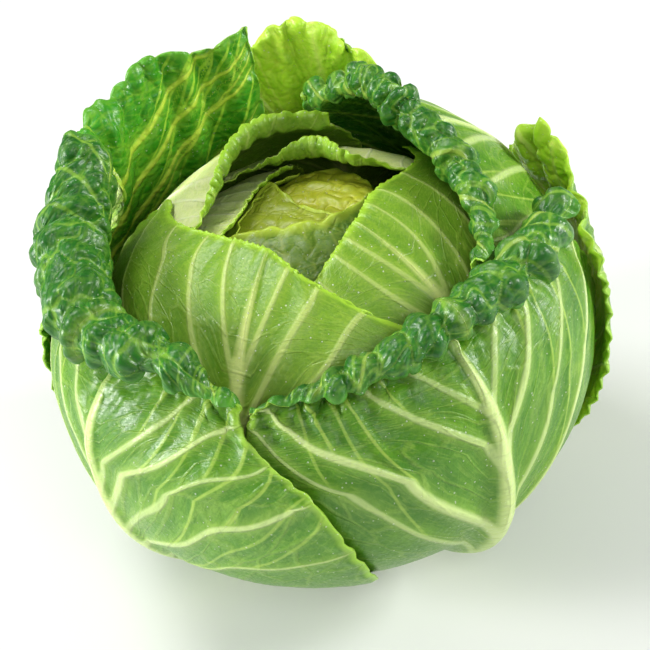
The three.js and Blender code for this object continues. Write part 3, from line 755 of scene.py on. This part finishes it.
def fold_points(fold, across, along):
    """Points of the mid-surface of a folded heart leaf."""
    base, margin = np.array(fold["base"], float), np.array(fold["margin"], float)
    t = (across + 1) / 2
    start = np.stack([stations(base[:, k], t) for k in range(3)], axis=-1)
    end = np.stack([stations(margin[:, k], t) for k in range(3)], axis=-1)
    point = start + (end - start) * along[:, None]
    flap_height, flap_start = fold["flap"]
    flap = smooth_step(flap_start, 1.0, along) ** 2 * flap_height
    lip = flap * (FLAP_LEVEL + stray(t * FLAP_STRETCH + fold["seed"], FLAP_WANDER))
    _, dome = crumpled(point[:, 0], point[:, 1], fold["seed"])
    wave = stray(point[:, 0] + 2 * point[:, 1], FOLD_SWELL)
    height = fold["lift"] + fold["bow"] * np.sin(math.pi * along) + lip
    point[:, 2] += height + fold["crumple"] * (dome - 0.5 + wave) + CENTRE_HEIGHT
    notch = stray(t * NOTCH_STRETCH + fold["seed"], FOLD_NOTCH) * along**4
    inwards = (start - end) / np.linalg.norm(end - start, axis=-1)[:, None]
    point[:, :2] += inwards[:, :2] * notch[:, None]
    return point


def make_heart_leaf(fold, materials):
    """A young leaf laid over the crown from a flat grid."""
    deselect_all()
    bpy.ops.mesh.primitive_grid_add(x_subdivisions=FOLD_GRID[0], y_subdivisions=FOLD_GRID[1], size=2)
    piece = bpy.context.object
    mesh = piece.data
    grid = read_vertices(mesh)
    across, along = grid[:, 0], (grid[:, 1] + 1) / 2
    points = fold_points(fold, across, along)
    write_vertices(mesh, points)
    gap, dome = crumpled(points[:, 0], points[:, 1], fold["seed"])
    spread = np.abs(np.sin(across * FOLD_VEINS * math.pi + 0.5 * np.sin(6 * along)))
    vein = FOLD_VEIN_SHARE * np.exp(-((spread / FOLD_VEIN_WIDTH) ** 2)) * (0.4 + 0.6 * along)
    edge = (1 - along) * FOLD_LENGTH
    finish_share(mesh, materials, points[:, 0], points[:, 1], gap, dome, edge, fold["young"], vein)
    thicken(piece, HEART_THICKNESS * (0.5 + 0.5 * smooth_step(0, 0.1, 1 - along)))
    return piece


def make_heart(materials):
    """The heart as one piece: the ball and the leaves folded over its crown."""
    core = make_heart_core(materials)
    folds = [make_heart_leaf(fold, materials) for fold in HEART_LEAVES]
    deselect_all()
    for piece in folds + [core]:
        piece.select_set(True)
    bpy.context.view_layer.objects.active = core
    bpy.ops.object.join()
    bpy.ops.object.shade_smooth()
    core.name = "heart_leaves"
    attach(core, "root")
    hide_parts("heart")


def make_stalk(materials):
    """The stalk: a disc for the cut, drawn up ring by ring to its hidden tip."""
    deselect_all()
    bpy.ops.mesh.primitive_circle_add(vertices=STALK_SIDES, radius=CUT_RADIUS * MM, fill_type="NGON")
    piece = bpy.context.object
    piece.name = "stalk"
    bpy.ops.object.mode_set(mode="EDIT")
    bpy.ops.mesh.select_all(action="SELECT")
    radius, height = CUT_RADIUS, 0
    for next_radius, next_height in [(CUT_RADIUS + CUT_CHAMFER, CUT_CHAMFER)] + STALK_PROFILE:
        bpy.ops.mesh.extrude_region_move(
            TRANSFORM_OT_translate={"value": (0, 0, (next_height - height) * MM)})
        ratio = next_radius / radius
        bpy.ops.transform.resize(value=(ratio, ratio, 1), center_override=(0, 0, 0))
        radius, height = next_radius, next_height
    bpy.ops.mesh.select_all(action="SELECT")
    bpy.ops.mesh.normals_make_consistent(inside=False)
    bpy.ops.object.mode_set(mode="OBJECT")
    piece.data.materials.append(materials["stalk"])
    bpy.ops.object.shade_smooth_by_angle(angle=math.radians(40))
    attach(piece, "root")
    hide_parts("stem")


# Materials

MIX_FACTOR = 0
MIX_COLOURS = (6, 7)
MIX_COLOUR = 2
MIX_VECTORS = (4, 5)
MIX_VECTOR = 1


def linear(hex_colour):
    """A hex sRGB colour as linear red, green, blue and alpha."""
    values = [int(hex_colour[i:i + 2], 16) / 255 for i in (1, 3, 5)]
    return tuple(v / 12.92 if v <= 0.04045 else ((v + 0.055) / 1.055) ** 2.4 for v in values) + (1.0,)


def add(tree, kind, inputs=(), **settings):
    """Adds a node, sets it, and links or sets its inputs, given by name or number or in their order."""
    made = tree.nodes.new(kind)
    for name, value in settings.items():
        setattr(made, name, value)
    for key, value in inputs.items() if isinstance(inputs, dict) else enumerate(inputs):
        if isinstance(value, bpy.types.NodeSocket):
            tree.links.new(value, made.inputs[key])
        else:
            made.inputs[key].default_value = value
    return made


def new_material(name):
    material = bpy.data.materials.new(name)
    material.use_nodes = True
    return material, material.node_tree, material.node_tree.nodes["Principled BSDF"]


def painted(tree, colour, layers):
    """The colour with each layer over it, where a layer is (cover, strength, hex colour)."""
    for cover, strength, paint in layers:
        amount = add(tree, "ShaderNodeMath", [cover, strength], operation="MULTIPLY").outputs[0]
        colour = add(tree, "ShaderNodeMix", {MIX_FACTOR: amount, MIX_COLOURS[0]: colour,
                                             MIX_COLOURS[1]: linear(paint)},
                     data_type="RGBA").outputs[MIX_COLOUR]
    return colour


def embossed(tree, reliefs):
    """The normal over some low reliefs, each as (height share, strength, millimetres)."""
    below = {}
    for height, strength, depth in reliefs:
        bump = add(tree, "ShaderNodeBump", {"Height": height, "Strength": strength,
                                            "Distance": depth * MM, **below})
        below = {"Normal": bump.outputs[0]}
    return below["Normal"]


# Beads of water: how far apart they could stand, their largest radius as a share of that, and how
# many of the places have one. Real mist is finer, and is drawn coarse enough to show.

DROP_SPACING = 1.5
DROP_RADIUS_SHARE = 0.26
DROP_CHANCE = 0.4


# Colour the beads are painted towards: the whitish look of fine mist, and a painted glint on each drop.
MIST_AND_GLINT_COLOUR = "#f4fbe6"


def water_mist(tree, place):
    """Fine beads of water: their share of a point, from 0 to 1."""
    beads = add(tree, "ShaderNodeTexVoronoi", {"Vector": place, "Scale": 1 / (DROP_SPACING * MM)})
    parted = add(tree, "ShaderNodeSeparateColor", {"Color": beads.outputs["Color"]})
    chosen = add(tree, "ShaderNodeMath", [parted.outputs[0], DROP_CHANCE], operation="LESS_THAN")
    size = add(tree, "ShaderNodeMath", [parted.outputs[1], DROP_RADIUS_SHARE], operation="MULTIPLY")
    inside = add(tree, "ShaderNodeMath", [size.outputs[0], beads.outputs["Distance"]],
                 operation="SUBTRACT")
    top = add(tree, "ShaderNodeMapRange", [inside.outputs[0], 0, 0.05, 0, 1],
              interpolation_type="SMOOTHSTEP")
    return add(tree, "ShaderNodeMath", [chosen.outputs[0], top.outputs[0]],
               operation="MULTIPLY").outputs[0]


# Finest veins: the size of the cells that they enclose, along and across the side ribs, and the
# share of a cell that a vein's half-width takes

BRANCH_CELL = (25, 13)
BRANCH_WIDTH = 0.06
TWIGLET_CELL = (8, 6)
TWIGLET_WIDTH = 0.08


def vein_lines(tree, sheet, cell, width):
    """A net of fine veins: how much of a vein each point is, from 0 to 1."""
    scaled = add(tree, "ShaderNodeVectorMath", [sheet, (1 / (cell[0] * MM), 1 / (cell[1] * MM), 0)],
                 operation="MULTIPLY").outputs[0]
    wander = add(tree, "ShaderNodeTexNoise", {"Vector": scaled, "Scale": 1.3, "Detail": 2.0})
    warped = add(tree, "ShaderNodeMix", {MIX_FACTOR: 0.3, MIX_VECTORS[0]: scaled,
                                         MIX_VECTORS[1]: wander.outputs["Color"]},
                 data_type="VECTOR").outputs[MIX_VECTOR]
    cells = add(tree, "ShaderNodeTexVoronoi", {"Vector": warped, "Scale": 1.4},
                feature="DISTANCE_TO_EDGE")
    return add(tree, "ShaderNodeMapRange", [cells.outputs["Distance"], 0.2 * width, width, 1, 0],
               interpolation_type="SMOOTHSTEP").outputs[0]


def drawn_line(tree, name):
    """A side rib or fork as a crisp line: how much of it each point is, from 0 to 1."""
    line, fade = (add(tree, "ShaderNodeAttribute", attribute_name=name + ending).outputs["Fac"]
                  for ending in ("_line", "_fade"))
    gap = add(tree, "ShaderNodeMath", [line], operation="ABSOLUTE").outputs[0]
    near = add(tree, "ShaderNodeMapRange", [gap, 0.3, 1, 1, 0],
               interpolation_type="SMOOTHSTEP").outputs[0]
    return add(tree, "ShaderNodeMath", [near, fade], operation="MULTIPLY").outputs[0]


# Millimetres of the finest patterns: clouds of colour, fibres along and across the side ribs, and grain

CLOUD_SIZE = 28
FIBRE_SIZE = (4, 1.5)
GRAIN_SIZE = 0.9


def leaf_skin(name, base, blade, deep, patch, vein, rib, margin, vein_share=0.6, rib_share=0.8,
              twig_share=0.5, net_share=0.1, line_share=0.3, mesh_share=0.1, deep_share=0.6,
              deep_from=0.5, pale_from=0.1, pale_until=0.75, patch_share=1.0, roughness=0.36,
              dents=0.5, mist_and_glint=0.4):
    """Living cabbage leaf: waxy cuticle over moist flesh, which gives a soft sheen and some depth."""
    material, tree, skin = new_material(name)
    place = add(tree, "ShaderNodeTexCoord").outputs["Object"]
    sheet = add(tree, "ShaderNodeTexCoord").outputs["UV"]
    share = {key: add(tree, "ShaderNodeAttribute", attribute_name=key).outputs["Fac"] for key in SHARES}
    drawn = add(tree, "ShaderNodeVectorMath",
                [sheet, (1 / (FIBRE_SIZE[0] * MM), 1 / (FIBRE_SIZE[1] * MM), 1)], operation="MULTIPLY")
    clouds, grain, fibre = (add(tree, "ShaderNodeTexNoise", inputs).outputs["Fac"] for inputs in (
        {"Vector": place, "Scale": 1 / (CLOUD_SIZE * MM), "Detail": 3.0},
        {"Vector": place, "Scale": 1 / (GRAIN_SIZE * MM), "Detail": 2.0},
        {"Vector": drawn.outputs[0], "Scale": 1.0, "Detail": 3.0, "Distortion": 0.8}))
    ranges = dict(
        blade=(share["up"], pale_from, pale_until, 0, 1), patch=(clouds, 0.42, 0.68, 0, patch_share),
        deep=(share["up"], deep_from, 1, 0.15, deep_share), mesh=(share["mesh"], 0.15, 0.75, mesh_share, 0),
        net=(share["net"], 0.2, 0.95, net_share, 0), flat=(share["curled"], 0, 1, 1, 0.25),
        grain=(grain, 0.4, 0.7, 0, 0.3), midrib=(share["up"], 0.12, 0.45, 0.25, rib_share),
        fibre=(fibre, 0.48, 0.7, 0, 0.16), pale_fibre=(fibre, 0.32, 0.48, 0.14, 0),
        margin=(share["edge"], 0.4, 3.4, 0.85, 0), dents=(share["mesh"], 0, 1.6, 0, 1),
        roughness=(grain, 0.3, 0.7, roughness - 0.06, roughness + 0.1))
    part = {key: add(tree, "ShaderNodeMapRange", values, interpolation_type="SMOOTHSTEP").outputs[0]
            for key, values in ranges.items()}
    branches = vein_lines(tree, sheet, BRANCH_CELL, BRANCH_WIDTH)
    branches = add(tree, "ShaderNodeMath", [branches, part["flat"]], operation="MULTIPLY").outputs[0]
    twiglets = vein_lines(tree, sheet, TWIGLET_CELL, TWIGLET_WIDTH)
    ribs, low_forks, high_forks = (drawn_line(tree, line) for line in ("rib", "low", "high"))
    # The beads' near-white colour is partly painted highlight, the glint of each drop; their bump is real.
    beads = water_mist(tree, place)
    # The margin layer is partly the thin margin's own yellow-green and partly painted light: the glow of
    # light through it and the highlight on its lit edge.
    colour = painted(tree, linear(base), [
        (part["blade"], 1, blade), (part["patch"], 1, patch), (share["dome"], part["deep"], deep),
        (part["mesh"], 1, vein), (part["net"], share["curled"], vein),
        (twiglets, 0.35 * line_share, vein), (branches, line_share, vein), (part["grain"], 1, deep),
        (low_forks, twig_share, vein), (high_forks, twig_share, vein), (share["vein"], vein_share, vein),
        (ribs, rib_share, rib), (share["middle"], part["midrib"], rib), (part["fibre"], 1, deep),
        (part["pale_fibre"], 1, vein), (part["margin"], 1, margin), (beads, mist_and_glint, MIST_AND_GLINT_COLOUR)])
    tree.links.new(colour, skin.inputs["Base Color"])
    tree.links.new(part["roughness"], skin.inputs["Roughness"])
    reliefs = [(part["dents"], dents, 0.35), (branches, 0.5, 0.3), (ribs, 0.6, 0.8), (fibre, 0.5, 0.25),
               (grain, 0.35, 0.12), (beads, 1, 0.35)]
    tree.links.new(embossed(tree, reliefs), skin.inputs["Normal"])
    settings = {"IOR": 1.45, "Specular IOR Level": 0.42, "Subsurface Weight": 0.22,
                "Subsurface Radius": (0.8, 1.0, 0.25), "Subsurface Scale": 1.6 * MM,
                "Coat Weight": 0.1, "Coat Roughness": 0.18}
    for key, value in settings.items():
        skin.inputs[key].default_value = value
    return material


# Rings of the stalk's cut, as radii: where the woody ring starts and ends, and where the skin starts

WOOD_INSIDE = (8.5, 9.5)
WOOD_OUTSIDE = (12.5, 13.2)
STALK_SKIN = (15.5, 18)
STALK_FIBRE_SIZE = 1.4


def stalk_flesh():
    """Cut cabbage stalk: wet cream flesh with a woody ring, and paler green skin round it."""
    material, tree, skin = new_material("cut cabbage stalk")
    place = add(tree, "ShaderNodeTexCoord").outputs["Object"]
    parts = add(tree, "ShaderNodeSeparateXYZ", [place])
    flat = add(tree, "ShaderNodeCombineXYZ", [parts.outputs["X"], parts.outputs["Y"]])
    out = add(tree, "ShaderNodeVectorMath", [flat.outputs[0]], operation="LENGTH").outputs["Value"]
    fibre = add(tree, "ShaderNodeTexNoise", {"Vector": place, "Scale": 1 / (STALK_FIBRE_SIZE * MM),
                                             "Detail": 4.0}).outputs["Fac"]
    inside, outside, green, grey = (
        add(tree, "ShaderNodeMapRange", values, interpolation_type="SMOOTHSTEP").outputs[0] for values in (
            (out, WOOD_INSIDE[0] * MM, WOOD_INSIDE[1] * MM, 0, 1),
            (out, WOOD_OUTSIDE[0] * MM, WOOD_OUTSIDE[1] * MM, 1, 0),
            (out, STALK_SKIN[0] * MM, STALK_SKIN[1] * MM, 0, 1), (fibre, 0.45, 0.75, 0, 0.5)))
    colour = painted(tree, linear("#e4e6c0"), [
        (inside, outside, "#c9cf98"), (green, 1, "#b9cf80"), (grey, 1, "#a8a878")])
    tree.links.new(colour, skin.inputs["Base Color"])
    tree.links.new(embossed(tree, [(fibre, 0.6, 0.4)]), skin.inputs["Normal"])
    for key, value in {"Roughness": 0.42, "Subsurface Weight": 0.2, "Subsurface Scale": 2 * MM}.items():
        skin.inputs[key].default_value = value
    return material


def make_materials():
    return {
        "wrapper_outside": leaf_skin(
            "wrapper leaf underside", base="#86b030", blade="#5e9419", deep="#2d6c0c", patch="#508716",
            vein="#b2d05a", rib="#d8ea9e", margin="#a2cf44", vein_share=0.75, rib_share=0.75,
            twig_share=0.6, line_share=0.18, mesh_share=0.03, deep_from=0.3, pale_until=0.35,
            dents=0.3),
        "dark_inside": leaf_skin(
            "dark wrapper leaf face", base="#74a636", blade="#2e7a1c", deep="#0f4e0e", patch="#246c14",
            vein="#8cb83e", rib="#b8d058", margin="#4c8e28", rib_share=0.7, twig_share=0.55,
            net_share=0.6, line_share=0.4, deep_share=0.65, dents=0.8, mist_and_glint=0.35),
        # Its own green is painted brighter too: a painted glow of the light that shines through these thin
        # back leaves.
        "green_inside": leaf_skin(
            "green wrapper leaf face", base="#a8cc38", blade="#3c981a", deep="#227214", patch="#4c9e20",
            vein="#a8d040", rib="#d0e454", margin="#5ea228", vein_share=1.0, rib_share=1.0,
            twig_share=0.8, net_share=0.2, line_share=0.5, mesh_share=0.08, deep_share=0.45,
            roughness=0.34),
        # Its own yellow-green is painted brighter still: a painted glow of the light that shines through
        # these thin back leaves.
        "young_inside": leaf_skin(
            "young wrapper leaf face", base="#d0e64a", blade="#bce434", deep="#8ccc24", patch="#c8e43c",
            vein="#dcec70", rib="#e8f49a", margin="#bce444", vein_share=0.8, twig_share=0.6,
            net_share=0.3, line_share=0.4, mesh_share=0.12, deep_share=0.5),
        # The dark base here is painted shade: the lower half of the head leaves, under the wrapper rolls,
        # is painted dark green, fading to the blade's green towards the margin.
        "head_outside": leaf_skin(
            "head leaf underside", base="#245a0c", blade="#7ca428", deep="#447c16", patch="#86aa30",
            vein="#b8cc60", rib="#d4e08c", margin="#a4d034", vein_share=0.7, rib_share=0.75,
            twig_share=0.3, net_share=0.05, line_share=0.12, mesh_share=0.03, deep_share=0.35,
            pale_from=0.5, pale_until=1.02, patch_share=0.45, dents=0.2, mist_and_glint=0.5),
        "head_inside": leaf_skin(
            "head leaf face", base="#7fa82a", blade="#7eac26", deep="#578a1e", patch="#8cb830",
            vein="#b8d060", rib="#cce07c", margin="#9ecb30", net_share=0.25, mesh_share=0.12,
            deep_share=0.4, dents=0.3),
        # Its own pale cream-green is painted lighter still: a painted highlight where light falls on these
        # inner leaves.
        "pale_outside": leaf_skin(
            "pale head leaf underside", base="#d8e68a", blade="#e8f0ac", deep="#b8d25c", patch="#dce890",
            vein="#f0f5c4", rib="#f4f8d4", margin="#b4d84c", mesh_share=0.06, deep_share=0.3,
            dents=0.3, mist_and_glint=0.5),
        "heart": leaf_skin(
            "heart leaf", base="#3e7214", blade="#b9bc2c", deep="#8ca424", patch="#90aa2a",
            vein="#ccd264", rib="#ccd264", margin="#b4cc3c", vein_share=0.5, deep_share=0.4,
            line_share=0.1, pale_until=0.95, patch_share=0.3, roughness=0.42),
        "stalk": stalk_flesh(),
    }


# Floor, light and camera

PHOTO_SIDE_PX = 650
HEAD_CENTRE_PX = (325, 318)
MM_PER_PX = 0.344
CAMERA_ELEVATION = 38
CAMERA_ROLL = 12
CAMERA_DISTANCE = 900
SENSOR_WIDTH = 36


def make_floor():
    deselect_all()
    bpy.ops.mesh.primitive_plane_add(size=8, location=(0, 0, -0.0004))
    floor = bpy.context.object
    floor.name = "floor"
    material, tree, skin = new_material("pale floor")
    skin.inputs["Base Color"].default_value = linear("#e4e5e2")
    skin.inputs["Roughness"].default_value = 0.85
    floor.data.materials.append(material)


def make_light(name, place, size, power):
    deselect_all()
    bpy.ops.object.light_add(type="AREA", location=place)
    lamp = bpy.context.object
    lamp.name = name
    lamp.data.size = size
    lamp.data.energy = power
    towards = Vector((0, 0, CENTRE_HEIGHT * MM)) - Vector(place)
    lamp.rotation_euler = towards.to_track_quat("-Z", "Y").to_euler()


def make_studio():
    world = bpy.data.worlds.new("studio")
    bpy.context.scene.world = world
    world.use_nodes = True
    world.node_tree.nodes["Background"].inputs["Color"].default_value = linear("#fbfdff")
    world.node_tree.nodes["Background"].inputs["Strength"].default_value = 0.2
    make_light("top light", (-0.35, 0.35, 1.05), 0.5, 7.5)
    make_light("front light", (0.2, -0.85, 0.8), 0.35, 3.2)
    make_light("right light", (1.0, -0.1, 0.5), 0.3, 10.5)
    make_light("left light", (-1.1, -0.1, 0.45), 0.3, 14)
    make_floor()
    bpy.context.scene.view_settings.view_transform = "Standard"


def make_camera():
    """The photograph's camera: its angle, its roll, and the head's place in the frame."""
    elevation = math.radians(CAMERA_ELEVATION)
    roll = math.radians(CAMERA_ROLL)
    right = Vector((1, 0, 0))
    up = Vector((0, math.sin(elevation), math.cos(elevation)))
    back = Vector((0, -math.cos(elevation), math.sin(elevation)))
    frame_right = right * math.cos(roll) - up * math.sin(roll)
    frame_up = right * math.sin(roll) + up * math.cos(roll)
    middle = PHOTO_SIDE_PX / 2
    aim = Vector((0, 0, CENTRE_HEIGHT)) + (
        frame_right * (middle - HEAD_CENTRE_PX[0]) + frame_up * (HEAD_CENTRE_PX[1] - middle)) * MM_PER_PX
    bpy.ops.object.camera_add(location=(aim + back * CAMERA_DISTANCE) * MM)
    camera = bpy.context.object
    axes = Matrix((frame_right, frame_up, back)).transposed()
    camera.rotation_euler = axes.to_euler()
    camera.data.sensor_width = SENSOR_WIDTH
    camera.data.lens = SENSOR_WIDTH * CAMERA_DISTANCE / (PHOTO_SIDE_PX * MM_PER_PX)
    bpy.context.scene.camera = camera


materials = make_materials()
for leaf in LEAVES:
    make_leaf(leaf, materials)
make_heart(materials)
make_stalk(materials)
make_studio()
make_camera()


def corners(box):
    return [list(corner) for corner in box]
